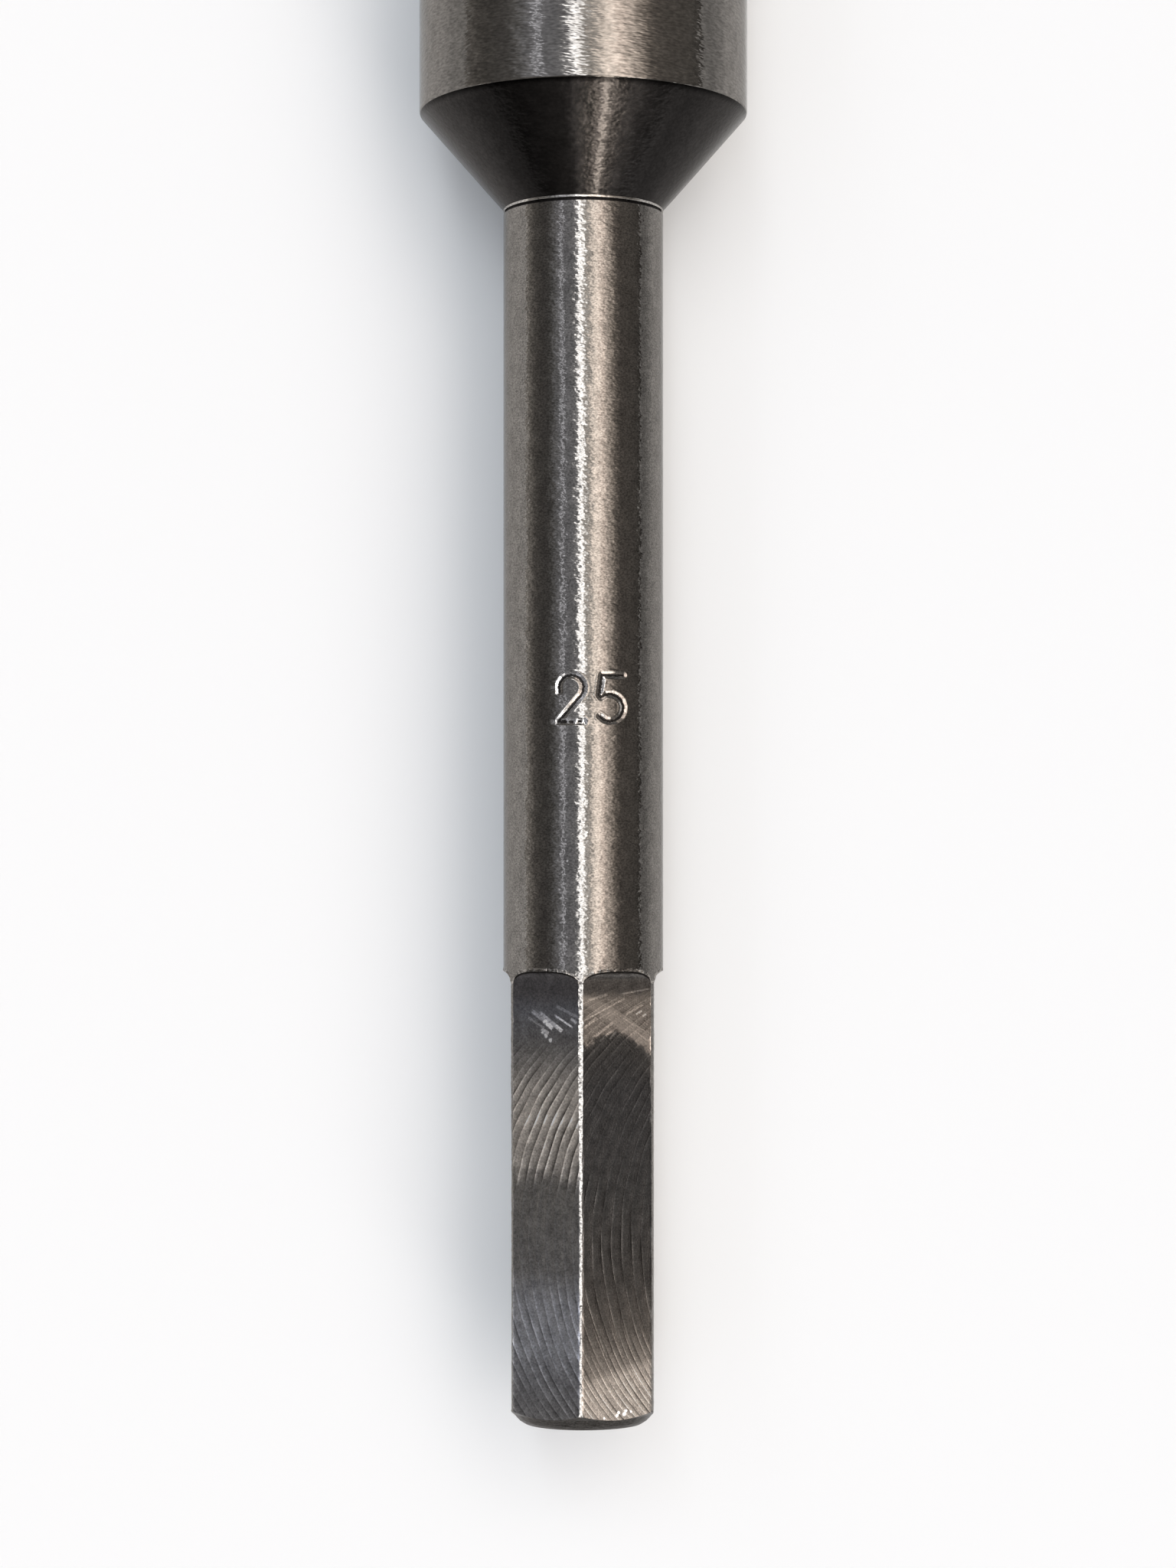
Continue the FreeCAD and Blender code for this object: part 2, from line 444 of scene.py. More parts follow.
def grid_mesh(surface, first_wound, rows_per_pass):
    """A mesh of the rows, closed by a fan at each end, in which no two points are alike."""
    along = np.array(surface.along)
    radius = np.array(surface.radius)
    angle = np.radians(np.array(surface.angle))
    clamp_ends(along, radius, first_wound)
    rows, count = along.shape
    points = np.stack([radius * np.sin(angle), shank_end + along,
                       axis_height + radius * np.cos(angle)], axis=-1).reshape(-1, 3)
    centres = [[0, shank_end, axis_height], [0, shank_end + blank_end, axis_height]]
    points = np.concatenate([points, centres])
    keys = np.round(points / same_point).astype(np.int64)
    unique, where = np.unique(keys, axis=0, return_inverse=True)
    where = where.reshape(-1)
    places = np.zeros((len(unique), 3))
    places[where] = points

    faces = []
    finishes = []

    def wrapped(row, column):
        """The row and column of a point. A wound row goes on as the one a pass higher."""
        if column == count:
            column = 0
            if row >= first_wound:
                row = min(row + rows_per_pass, rows - 1)
        return row, column

    def corner(row, column):
        row, column = wrapped(row, column)
        return where[row * count + column]

    def add_face(corners, finish):
        """A face from its corners, which are given clockwise as seen from outside."""
        kept = [c for c, after in zip(corners, corners[1:] + corners[:1]) if c != after]
        if len(set(kept)) == len(kept) >= 3:
            faces.append(kept[::-1])
            finishes.append(finish_names.index(finish))

    def finish_of(row, column, after):
        """The finish between a row and the next, from one column to another."""
        finish = surface.finish[row + 1]
        if finish == "flats":
            # The face after a column that is on an edge is a flat on one side only
            flat = abs(from_flat[column] + 0.1) < half_flat_angle
            return f"flat_{flat_index[column]}" if flat else "turned"
        inner = min(radius[wrapped(r, c)] for r in (row, row + 1) for c in (column, after))
        # The floor of the stamp is painted dark as shade, and its wall lighter as a highlight
        if finish == "number" and inner < shank_radius - stamp_floor:
            return "crease"
        if finish == "number":
            return "stamp" if inner < shank_radius - stamp_edge else "turned"
        if finish == "wound":
            return "flute" if inner < body_radius - 1e-3 else "collar"
        return finish

    for row in range(rows - 1):
        lower = np.append(np.flatnonzero(surface.used[row]), count)
        upper = np.append(np.flatnonzero(surface.used[row + 1]), count)
        shared = np.intersect1d(lower, upper)
        for column, after in zip(shared[:-1], shared[1:]):
            below = lower[(lower >= column) & (lower <= after)]
            above = upper[(upper >= column) & (upper <= after)]
            corners = [corner(row, column)] + [corner(row + 1, c) for c in above]
            corners += [corner(row, c) for c in below[:0:-1]]
            add_face(corners, finish_of(row, column, after))
    last = rows - 1
    for end_row, centre, finish in ((0, rows * count, "end"), (last, rows * count + 1, "collar")):
        used = np.append(np.flatnonzero(surface.used[end_row]), count)
        for column, after in zip(used[:-1], used[1:]):
            sides = (column, after) if end_row == 0 else (after, column)
            add_face([where[centre]] + [corner(end_row, c) for c in sides], finish)

    kept = np.unique(np.concatenate(faces))
    places = places[kept]
    faces = [np.searchsorted(kept, face).tolist() for face in faces]
    mesh = bpy.data.meshes.new("auger_bit_steel")
    mesh.from_pydata((places * metres).tolist(), [], faces)
    mesh.polygons.foreach_set("material_index", finishes)
    mesh.update()
    return mesh


def turned_and_fluted():
    """The whole bit apart from the cutting head and its lead screw."""
    surface = Surface()
    add_shank_end(surface)
    add_hexagon(surface)
    add_runout(surface)
    add_round_shank(surface)
    add_neck(surface)
    first_wound = len(surface.along)
    rows_per_pass = add_fluted_body(surface)
    return grid_mesh(surface, first_wound, rows_per_pass)


def add_finishes(mesh):
    """Gives a mesh all the finishes, in the order of their names."""
    for finish in finish_names:
        mesh.materials.append(finishes_made[finish])


def linked(mesh, name):
    """An object of a mesh or a camera, in the scene."""
    made = bpy.data.objects.new(name, mesh)
    bpy.context.scene.collection.objects.link(made)
    return made


def combined(first, second, operation):
    """The first object cut by, joined with or kept within the second, which goes."""
    modifier = first.modifiers.new(operation, "BOOLEAN")
    modifier.operation = operation
    modifier.solver = "MANIFOLD"
    modifier.object = second
    graph = bpy.context.evaluated_depsgraph_get()
    result = bpy.data.meshes.new_from_object(first.evaluated_get(graph))
    first.modifiers.clear()
    first.data = result
    bpy.data.objects.remove(second)
    return first


def head_point(x, y, z):
    """A point given before the bit was turned and laid down, in metres in the frame."""
    turn = radians(head_turn - 90)
    across = x * cos(turn) - y * sin(turn)
    deep = x * sin(turn) + y * cos(turn)
    return (across * metres, (shank_end + z) * metres, (axis_height - deep) * metres)


def head_solid(name, points, faces):
    """A solid for the cutting head, all of one finish, with its faces turned outward."""
    mesh = bpy.data.meshes.new(name)
    mesh.from_pydata([head_point(*point) for point in points], [], faces)
    made = linked(mesh, name)
    bpy.context.view_layer.objects.active = made
    made.select_set(True)
    bpy.ops.object.mode_set(mode="EDIT")
    bpy.ops.mesh.select_all(action="SELECT")
    bpy.ops.mesh.normals_make_consistent(inside=False)
    bpy.ops.object.mode_set(mode="OBJECT")
    made.select_set(False)
    add_finishes(mesh)
    mesh.polygons.foreach_set("material_index", [ground_index] * len(mesh.polygons))
    return made


def between(name, low_outline, high_outline):
    """A solid between two outlines with as many points."""
    count = len(low_outline)
    faces = [list(range(count)), list(range(count, 2 * count))]
    faces += [[i, (i + 1) % count, count + (i + 1) % count, count + i] for i in range(count)]
    return head_solid(name, low_outline + high_outline, faces)


def prism(name, outline, low_end, high_end, place):
    """A solid drawn from an outline. Place gives a point from outline and height."""
    return between(name, [place(a, b, low_end) for a, b in outline],
                   [place(a, b, high_end) for a, b in outline])


def lathe(name, low_radius, high_radius, low_end, high_end, count=180):
    """A plain cone or cylinder about the axis of the bit."""
    turns = [2 * pi * index / count for index in range(count)]
    circle = [(cos(turn), sin(turn)) for turn in turns]
    return between(name, [(low_radius * x, low_radius * y, low_end) for x, y in circle],
                   [(high_radius * x, high_radius * y, high_end) for x, y in circle])


def spur():
    """The scoring spur: a fin on the rim behind the lip, thin at its falling crest."""
    crown = lip_along + spur_height
    root = lip_along - spur_root_depth
    rim = lathe("rim", body_radius + 2, body_radius + 2, root, crown)
    hollow = lathe("hollow", body_radius - spur_root_thickness,
                   body_radius - spur_crest_thickness, root - overlap, crown + overlap)
    rim = combined(rim, hollow, "DIFFERENCE")
    slope = radians(spur_crest_angle)
    turn = radians(-spur_behind_lip)

    def fin_point(y, z, x):
        return (x * cos(turn) - y * sin(turn),
                x * sin(turn) + y * cos(turn), crown + z)

    outline = [(0, 0), (0, -outside), (-outside, -outside),
               (-outside, -outside * tan(slope))]
    fin = prism("fin", outline, 0, outside, fin_point)
    return combined(rim, fin, "INTERSECT")


def head_waste():
    """Everything above the lip's two slopes, apart from the spur."""
    ahead = lip_along - (outside - ridge_ahead) * tan(radians(lead_angle))
    behind = lip_along - (outside + ridge_ahead) * tan(radians(clearance_angle))
    outline = [(ridge_ahead, lip_along), (outside, ahead), (outside, lip_along + outside),
               (-outside, lip_along + outside), (-outside, behind)]
    space = prism("space_above_lip", outline, -outside, outside, lambda y, z, x: (x, y, z))
    return combined(space, spur(), "DIFFERENCE")


def lead_screw_core():
    """The tapered core of the lead screw, seated in the core of the bit."""
    base = screw_base_radius - thread_depth
    taper = (base - screw_point_radius) / screw_length
    return lathe("screw_core", base + screw_seat * taper, screw_point_radius,
                 lip_along - screw_seat, lip_along + screw_length, 96)


def lead_screw_thread():
    """One right-handed thread, from inside the head to just short of the point."""
    first, last = -thread_pitch, screw_length - thread_pitch / 2
    count = 36 * ceil((last - first) / thread_pitch)
    points = []
    for height in np.linspace(first, last, count + 1):
        left = 1 - max(0, height) / screw_length
        root = screw_point_radius
        root += (screw_base_radius - thread_depth - screw_point_radius) * left
        crest = root + thread_depth * left
        half_width = thread_root_width * (1 + left) / 4
        sunk = thread_depth * left / 3
        half_base = half_width * (1 + sunk / (crest - root))
        turn = 2 * pi * height / thread_pitch
        for radius, step in ((root - sunk, -half_base), (crest, 0), (root - sunk, half_base)):
            points.append((radius * cos(turn), radius * sin(turn),
                           lip_along + height + step))
    faces = [[0, 1, 2], [3 * count + 2, 3 * count + 1, 3 * count]]
    for ring in range(count):
        for side in range(3):
            a, b = 3 * ring + side, 3 * ring + (side + 1) % 3
            faces.append([a, b, b + 3, a + 3])
    return head_solid("screw_thread", points, faces)


# Node helpers

class Value:
    """An output of a node, which takes part in sums as a number does."""

    def __init__(self, socket):
        self.socket = socket
        self.tree = socket.id_data

    def __add__(self, other):
        return maths("ADD", self, other)

    def __sub__(self, other):
        return maths("SUBTRACT", self, other)

    def __rsub__(self, other):
        return maths("SUBTRACT", other, self)

    def __mul__(self, other):
        return maths("MULTIPLY", self, other)

    def __truediv__(self, other):
        return maths("DIVIDE", self, other)

    def __abs__(self):
        return maths("ABSOLUTE", self)

    __radd__ = __add__
    __rmul__ = __mul__


def connect(value, socket):
    """Gives a socket a value, or links it to the output of another node."""
    if isinstance(value, Value):
        value.tree.links.new(value.socket, socket)
    else:
        socket.default_value = value


def node_value(kind, inputs, output=0, **settings):
    """An output of a new node. Its inputs are given by number or name."""
    tree = next(value.tree for value in inputs.values() if isinstance(value, Value))
    node = tree.nodes.new(kind)
    for key, setting in settings.items():
        setattr(node, key, setting)
    for key, value in inputs.items():
        connect(value, node.inputs[key])
    return Value(node.outputs[output])


def maths(operation, *values):
    """The result of one sum."""
    return node_value("ShaderNodeMath", dict(enumerate(values)), operation=operation)


def fitted(value, from_low, from_high, to_low=0.0, to_high=1.0):
    """A value moved from one range to another, and kept inside it."""
    ranges = (value, from_low, from_high, to_low, to_high)
    return node_value("ShaderNodeMapRange", dict(enumerate(ranges)))


def mixed(share, first, second):
    """A colour between two others."""
    return node_value("ShaderNodeMix", {0: share, 6: first, 7: second}, 2, data_type="RGBA")


def tinted(factor, colour):
    """A colour made lighter or darker by a factor."""
    return node_value("ShaderNodeVectorMath", {0: colour, "Scale": factor}, operation="SCALE")


def noise(vector, scale, detail=2.0, rough=0.5):
    """Noise from 0 to 1 at a scale in cells for each unit of the vector."""
    return node_value("ShaderNodeTexNoise", {"Vector": vector, "Scale": scale,
                                             "Detail": detail, "Roughness": rough})


def spread(value, low, high):
    """Noise, which mostly lies between 0.3 and 0.7, moved to another range."""
    return fitted(value, 0.3, 0.7, low, high)


def bumped(height, distance):
    """A normal for a height that goes from 0 to 1 over a distance in millimetres."""
    return node_value("ShaderNodeBump", {"Height": height, "Distance": distance * metres})


def joined(x, y, z):
    """A vector from three values."""
    return node_value("ShaderNodeCombineXYZ", {0: x, 1: y, 2: z})


def parted(vector):
    """The three values of a vector."""
    node = vector.tree.nodes.new("ShaderNodeSeparateXYZ")
    connect(vector, node.inputs[0])
    return [Value(socket) for socket in node.outputs]


def coordinates(tree, kind):
    """Coordinates of a kind that Blender gives."""
    return Value(tree.nodes.new("ShaderNodeTexCoord").outputs[kind])


def rgba(colour):
    """A grey or a colour of three values, as Blender stores it."""
    return (*colour, 1) if isinstance(colour, tuple) else (colour, colour, colour, 1)


def ramp(value, stops):
    """A colour for each value, between stops of (place, colour)."""
    node = value.tree.nodes.new("ShaderNodeValToRGB")
    connect(value, node.inputs["Fac"])
    elements = node.color_ramp.elements
    while len(elements) < len(stops):
        elements.new(0.5)
    # Colours are given once all the places are, since a place can move a stop past others
    for element, (place, colour) in zip(elements, stops):
        element.position = place
    for element, (place, colour) in zip(elements, stops):
        element.color = rgba(colour)
    return Value(node.outputs["Color"])


def new_material(name):
    """A node material and its shader."""
    material = bpy.data.materials.new(name)
    material.use_nodes = True
    return material, material.node_tree.nodes["Principled BSDF"]


steel_colour = (0.2, 0.187, 0.172)
# Near black, for the cone's oxide, and for painted shade in the crease and the floor of the stamp
dark_colour = (0.026, 0.024, 0.023)
edge_tint = (0.72, 0.71, 0.7)


def as_steel(shader, colour, roughness, normal):
    """Gives a shader what differs from finish to finish, and what all the steel shares."""
    inputs = {"Base Color": colour, "Roughness": roughness, "Normal": normal,
              "Metallic": 1.0, "Specular Tint": rgba(edge_tint)}
    for key, value in inputs.items():
        connect(value, shader.inputs[key])


class Place:
    """Where a point is on the bit, along it and from its axis, in millimetres and turns."""

    def __init__(self, material):
        x, y, z = parted(coordinates(material.node_tree, "Object"))
        self.along = y / metres - shank_end
        self.x = x / metres
        self.z = z / metres - axis_height
        self.turn = maths("ARCTAN2", self.x, self.z) / (2 * pi)
        self.distance = maths("SQRT", self.x * self.x + self.z * self.z)


def grain(place, cell, detail=2.0):
    """Noise in cells of a size in millimetres round the bit and along it."""
    across, lengthwise = cell
    return noise(joined(place.x / across, place.along / lengthwise, place.z / across), 1.0, detail)


def turned_finish(name, colour, roughness, cell, grain_height, waves=1.2, fleck=(0.16, 0.11),
                  contrast=0.38, painted_light=None, painted_edge_shade=None):
    """Turned steel with a fine ragged grain, which breaks up what it reflects.

    Cell is the size of the grain round the bit and along it. Painted light is the painted
    reflection and highlights, lighter and darker lines along the bit, as stops of angle and
    brightness. Waves is how much higher the broad unevenness is than the grain. Painted edge
    shade is where the finish is painted darker along the bit, as shade.
    """
    material, shader = new_material(name)
    place = Place(material)
    coarse = grain(place, cell, 1.0)
    fine = grain(place, fleck, 1.0)
    broad = grain(place, (1.7, 1.1), 1.0)
    patches = grain(place, (0.9, 1.3))
    factor = spread(fine, 1 - contrast, 1 + contrast)
    factor *= spread(patches, 0.87, 1.13)
    # Painted reflection and highlights round the bit, ragged at their edges
    if painted_light is not None:
        ragged = place.turn + 0.022 * (coarse - 0.5)
        most = max(bright for _, bright in painted_light)
        stops = [((angle + 90) / 180, bright / most) for angle, bright in painted_light]
        factor *= most * ramp(fitted(ragged, -0.25, 0.25), stops)
    # Painted shade along the bit
    if painted_edge_shade is not None:
        factor *= fitted(place.along, *painted_edge_shade, 1.0, 0.2)
    as_steel(shader, tinted(factor, colour),
             spread(patches, roughness - 0.02, roughness + 0.03),
             bumped(waves * broad + coarse, grain_height))
    return material


def burr_finish():
    """Torn steel on the burred edge that the cutter left, painted brighter in places as glints
    and darker in others.
    """
    material, shader = new_material("burred_steel")
    burr_and_glint_noise = grain(Place(material), (0.35, 0.2))
    factor = fitted(burr_and_glint_noise, 0.42, 0.62, 0.5, 2.0)
    as_steel(shader, tinted(factor, steel_colour), 0.3, bumped(burr_and_glint_noise, 0.08))
    return material


def cutter_reach(along):
    """How far to the side of its centre the cutter cut, at a distance along a flat."""
    deep = along - cutter_along
    return maths("SQRT", maths("MAXIMUM", cutter_radius ** 2 - deep * deep, 0.0))


def cutter_marks_and_highlights(across, along, side, feed, strength_here, least=0.25):
    """Painted highlights along the arcs of one side of the cutter: bright lines that fade into
    painted shade on one side.

    Strength here is how strong they are at a point. Each line differs, and the faintest
    has the least share of it.
    """
    wander = (0.04 * maths("SINE", 1.1 * along + 1.7 * across)
              + 0.05 * maths("SINE", 0.5 * along - across))
    count = (side * cutter_reach(along) + across) / feed + wander
    each = noise(joined(maths("FLOOR", count), 0.3 * along, side), 0.83, 1.0)
    line = ramp(maths("FRACT", count), [(0.0, 0.05), (0.05, 1.0), (0.13, 0.9), (0.28, 0.55),
                                        (0.6, 0.4), (0.92, 0.1), (1.0, 0.05)])
    return (2.0 * line - 0.85) * (strength_here * fitted(each, 0.38, 0.6, least, 1.1))


def near_place(across, along, centre, size, ragged):
    """How near a point of a flat is to a place: 1 there, and 0 beyond a ragged edge."""
    gap_across = across - centre[0]
    gap_along = along - centre[1]
    gap = maths("SQRT", gap_across * gap_across + gap_along * gap_along)
    return fitted(gap + ragged, size, 0.6 * size)


def inside_bar(across, along, start, end, half_width):
    """Whether a point is in a straight bar drawn on a flat: 1 inside, and 0 outside."""
    run = np.subtract(end, start)
    length = hypot(*run)
    lean_across, lean_along = (run / length).tolist()
    gap_across = across - (start[0] + end[0]) / 2
    gap_along = along - (start[1] + end[1]) / 2
    lengthwise = abs(gap_across * lean_across + gap_along * lean_along)
    sideways = abs(gap_along * lean_across - gap_across * lean_along)
    return (fitted(lengthwise, 0.5 * length, 0.4 * length)
            * fitted(sideways, half_width, 0.55 * half_width))


def milled_finish(name, index, look):
    """A milled flat: arcs left by the cutter with painted highlights on them, zones painted
    lighter or darker for the light they would reflect at slightly different angles, and grain.

    Look gives the painted reflection along the flat, how its zones lean, the strength of each
    kind of marks and their painted highlights, and painted glints and bars.
    """
    material, shader = new_material(name)
    place = Place(material)
    turn = radians(first_flat_angle + 60 * index)
    along = place.along
    across = place.x * cos(turn) - place.z * sin(turn)
    flat_place = joined(across, along, 5.0 * index)
    speckle = noise(flat_place, 7.5, 2.0, 0.6)
    blotches = noise(flat_place, 1.3, 3.0, 0.6)

    def marks_of(kind, side, feed, least=0.25):
        """Marks of one side of the cutter and their painted highlights, as strong as the look says
        along the flat.
        """
        strength_here = ramp(along / hexagon_length, look[kind])
        return cutter_marks_and_highlights(across, along, side, feed, strength_here, least)

    feed = cutter_feed[index]
    wide = marks_of("wide", 1.0, feed)
    close = marks_of("close", 1.0, 0.6 * feed, 0.0)
    bars = marks_of("bars", 1.0, 0.97, 0.0)
    marks = wide + bars + close + marks_of("crossing", -1.0, 0.33)

    # Zones along the flat are painted lighter or darker for the light they reflect, leaning across
    # it
    lean_low, lean_high, dome = look["lean"]
    low_part = fitted(along, 5.0, 9.0, lean_low, 0.0)
    high_part = fitted(along, 22.0, 27.0) * fitted(along, 29.8, 31.2, 1.0, 0.0)
    rise = lean_high * across + dome * abs(across - 0.1)
    ragged = 1.4 * (blotches - 0.5) + 0.18 * (wide + bars)
    shifted = along + rise * high_part + across * low_part + ragged
    painted_tone = ramp(shifted / hexagon_length, look["painted_reflection_tones"])

    factor = spread(speckle, 0.65, 1.35) * spread(blotches, 0.76, 1.24)
    # Painted highlights on the cutter's arcs, with painted shade on one side of each
    factor *= 0.9 * marks + 1.0
    # A painted band of reflected light across the flat
    band_low, band_high, band_lift = look["painted_band"]
    other_side = across - cutter_reach(along)
    factor += (fitted(other_side, band_low, band_low + 0.3)
               * fitted(other_side, band_high, band_high + 0.4, 1.0, 0.0)
               * fitted(along, 27.0, 28.0, 0.0, band_lift))
    # Painted glints on the crests near one place along the flat
    glint_along, glint_strength = look["painted_glints"]
    near = fitted(abs(along - glint_along), 0.6, 0.1, 0.0, glint_strength)
    factor += near * maths("MAXIMUM", wide, 0.0)
    # Painted bars of reflected light, broken up by speckle
    patchy = fitted(speckle, 0.35, 0.55, 0.35, 1.0)
    for start, end, half_width, brighter in look["painted_bars"]:
        factor += brighter * (inside_bar(across, along, start, end, half_width) * patchy)
    colour = tinted(maths("MAXIMUM", factor, 0.1), painted_tone)

    normal = bumped(0.25 * marks + speckle, 0.015)
    # Painted glints in spots, whose normals also lean towards the light
    spot_edge_noise = 0.3 * (speckle - 0.5)
    for centre, size in look["painted_glint_spots"]:
        near = near_place(across, along, centre, size, spot_edge_noise)
        colour = mixed(near, colour, rgba(look["glint_spot_tone"]))
        normal = mixed(near, normal, (-0.02, -0.2, 0.98, 1))
    as_steel(shader, colour, fitted(shifted, *look["roughness"]), normal)
    return material


def flute_finish(name, colour, roughness):
    """Milled and ground steel inside the flute and on the head."""
    material, shader = new_material(name)
    place = Place(material)
    helix = place.along - flute_pitch * place.turn
    marks = noise(joined(3.0 * place.distance, 0.35 * place.along, 3.0 * helix), 1.0, 3.0, 0.6)
    factor = 0.4 * grain(place, (0.25, 0.25)) + (0.6 * marks + 0.5)
    as_steel(shader, tinted(factor, colour),
             spread(marks, roughness - 0.06, roughness + 0.08), bumped(marks, 0.02))
    return material


def along_flat(stops):
    """Stops with places in millimetres from the end, made into shares of the hexagon."""
    return [(place / hexagon_length, value) for place, value in stops]


# How the flats look, with their painted reflection, highlights and glints. Places are
# millimetres across a flat and from the end of the shank.
no_marks = along_flat([(0, 0), (33, 0)])
plain_look = {
    "painted_reflection_tones": along_flat([(0, (0.3, 0.285, 0.267)), (14, (0.2, 0.19, 0.182)),
                         (22, (0.3, 0.28, 0.26)), (33, (0.14, 0.133, 0.127))]),
    "lean": (0.1, 0.1, 0.2),
    "wide": along_flat([(0, 0.5), (16, 0.35), (28, 0.6), (33, 0.2)]),
    "close": no_marks,
    "bars": along_flat([(27, 0), (29, 0.5), (33, 0)]),
    "crossing": along_flat([(27, 0), (29, 0.3), (33, 0)]),
    "painted_band": (-30, -29, 0),
    "painted_bars": [],
    "painted_glints": (20, 0.3),
    "painted_glint_spots": [],
    "glint_spot_tone": 0.2,
    "roughness": (4, 20, 0.36, 0.4),
}
# The two flats that face the camera. A painted bar of reflected light has its ends, its
# half width and how bright it is.
left_look = {
    **plain_look,
    "painted_reflection_tones": along_flat([
        (1, (0.27, 0.265, 0.27)), (4, (0.29, 0.29, 0.31)), (6, (0.44, 0.45, 0.49)),
        (9.5, (0.41, 0.415, 0.45)), (12, (0.25, 0.242, 0.24)), (18.4, (0.24, 0.228, 0.216)),
        (19.9, (0.41, 0.377, 0.345)), (23, (0.46, 0.42, 0.38)), (25.5, (0.43, 0.395, 0.36)),
        (28, (0.23, 0.218, 0.206)), (29.5, (0.17, 0.165, 0.165)),
        (31.5, (0.15, 0.152, 0.165)), (32.8, (0.1, 0.095, 0.098))]),
    "lean": (0, 0, 0.1),
    "wide": along_flat([(0, 0.65), (8, 0.9), (13, 0.15), (17.5, 0.2), (19.5, 1.15),
                        (26, 1.15), (28.5, 0.5), (29.5, 0)]),
    "bars": no_marks,
    "crossing": along_flat([(28.5, 0), (29.5, 0.15), (31.5, 0.15), (32.5, 0)]),
    "painted_bars": [
        ((0.73, 31.22), (2.41, 30.26), 0.1, 5), ((-0.6, 31.4), (1.5, 29.95), 0.2, 2.8),
        ((0.85, 30.4), (1.5, 29.95), 0.19, 3.4), ((-1.3, 31.55), (0.65, 30.15), 0.18, 2),
        ((-0.2, 30.8), (0.65, 30.15), 0.22, 4.4), ((-1.6, 31), (-0.1, 30.2), 0.12, 1.3),
        ((0.9, 31.9), (2.9, 31), 0.15, 1.2), ((-0.4, 30.15), (0.3, 29.8), 0.15, 3.2),
        ((2.2, 30.95), (2.75, 30.6), 0.14, 2.8)],
    "painted_glints": (23.3, 1.6),
    "painted_glint_spots": [((0.02, 29.62), 0.21), ((0.42, 29.3), 0.21), ((-0.28, 29.85), 0.15)],
    "glint_spot_tone": 0.19,
    "roughness": (18, 20, 0.33, 0.45),
}
right_look = {
    "painted_reflection_tones": along_flat([
        (1, (0.6, 0.555, 0.51)), (4, (0.56, 0.515, 0.47)), (4.8, (0.31, 0.285, 0.26)),
        (7.5, (0.2, 0.187, 0.173)), (11, (0.12, 0.115, 0.11)), (18, (0.1, 0.1, 0.101)),
        (26, (0.092, 0.092, 0.095)), (29.9, (0.1, 0.097, 0.094)), (30.2, (0.36, 0.325, 0.295)),
        (32.4, (0.33, 0.3, 0.27)), (33, (0.14, 0.132, 0.125))]),
    "lean": (-0.25, 0.12, 0.48),
    "wide": along_flat([(0, 0.3), (6, 0.6), (9, 1), (17, 1.1), (20, 0.5),
                        (28, 0.7), (29.5, 0)]),
    "close": along_flat([(0, 1), (6, 0.8), (8.5, 0)]),
    "bars": along_flat([(27, 0), (28.5, 0.5), (32.4, 0.5), (33.2, 0.2)]),
    "crossing": along_flat([(28, 0), (28.6, 0.3), (32, 0.3), (33, 0)]),
    "painted_band": (-11.9, -10, 0.45),
    "painted_bars": [
        ((-2.57, 32.3), (-0.74, 32.75), 0.12, 1), ((-2.95, 30.72), (0.8, 32.5), 0.08, 1.5),
        ((-2.85, 30.3), (-0.4, 31.5), 0.07, 0.7), ((-2.9, 30.15), (-1.7, 31.05), 0.13, 0.9),
        ((-2.3, 29.35), (-0.3, 30.65), 0.13, 1.2), ((-1.5, 29.2), (-0.5, 30), 0.1, 1.6),
        ((-0.65, 29.35), (-0.05, 29.95), 0.1, 2), ((0.65, 31.15), (2.3, 31.98), 0.1, 1.3),
        ((0.3, 32.75), (2.9, 33.15), 0.08, 1.6), ((1.2, 30.1), (2.9, 29.1), 0.09, 0.6),
        ((0.4, 31), (2.9, 29.7), 0.07, 0.6), ((1.6, 31.2), (2.15, 31.5), 0.09, 3),
        ((2.15, 31.05), (2.5, 31.25), 0.09, 3)],
    "painted_glints": (2, 0),
    "painted_glint_spots": [((0, 1.15), 0.15), ((0.12, 1.35), 0.13), ((0.62, 1.22), 0.17),
              ((0.75, 1.45), 0.12), ((1.2, 1.35), 0.1), ((-1.1, 1), 0.1)],
    "glint_spot_tone": 0.8,
    "roughness": (4, 8, 0.42, 0.3),
}

# Painted reflection: how much lighter or darker the steel is painted round the shank,
# collar and cone, by degrees from straight up; on the cone these are painted highlights
shank_painted_reflection = [(-80, 0.85), (-76, 0.93), (-52, 0.93), (-48, 0.9), (-42, 1.0), (38, 1.0),
               (42.5, 0.85), (45, 0.46), (47.5, 0.38), (50, 0.45), (54, 0.61), (59, 0.84),
               (68, 0.95), (76, 0.8)]
collar_painted_reflection = [(-76, 1.05), (-68, 0.97), (-58, 0.9), (-50, 0.66), (-42, 0.62), (-37, 0.85),
                (-31, 1.1), (-25, 1.3), (-18, 1.15), (-10, 1.05), (-3, 0.95), (0, 0.8), (3, 0.92),
                (6, 0.9), (10, 1.06), (14, 1.18), (18, 1.25), (23, 1.18), (30, 1.16), (37, 1.2),
                (42.5, 1.0), (45, 0.6), (48, 0.5), (53, 0.62), (58, 0.92), (68, 1.07),
                (76, 0.95)]
cone_painted_highlights = [(-76, 1.7), (-58, 1.35), (-48, 0.95), (-40, 0.6), (-30, 0.58), (-22, 0.95),
                (-9, 1.9), (-5.7, 3.0), (-2.9, 5.2), (0, 4.5), (2.9, 2.8), (6, 1.9), (7.6, 4.3),
                (9.2, 4.3), (10.6, 1.8), (14.5, 2.7), (17.5, 4.5), (20.5, 4.4), (23.6, 3.1),
                (27, 2.1), (31, 1.3), (40, 0.8), (48, 0.9), (58, 1.2), (76, 1.0)]


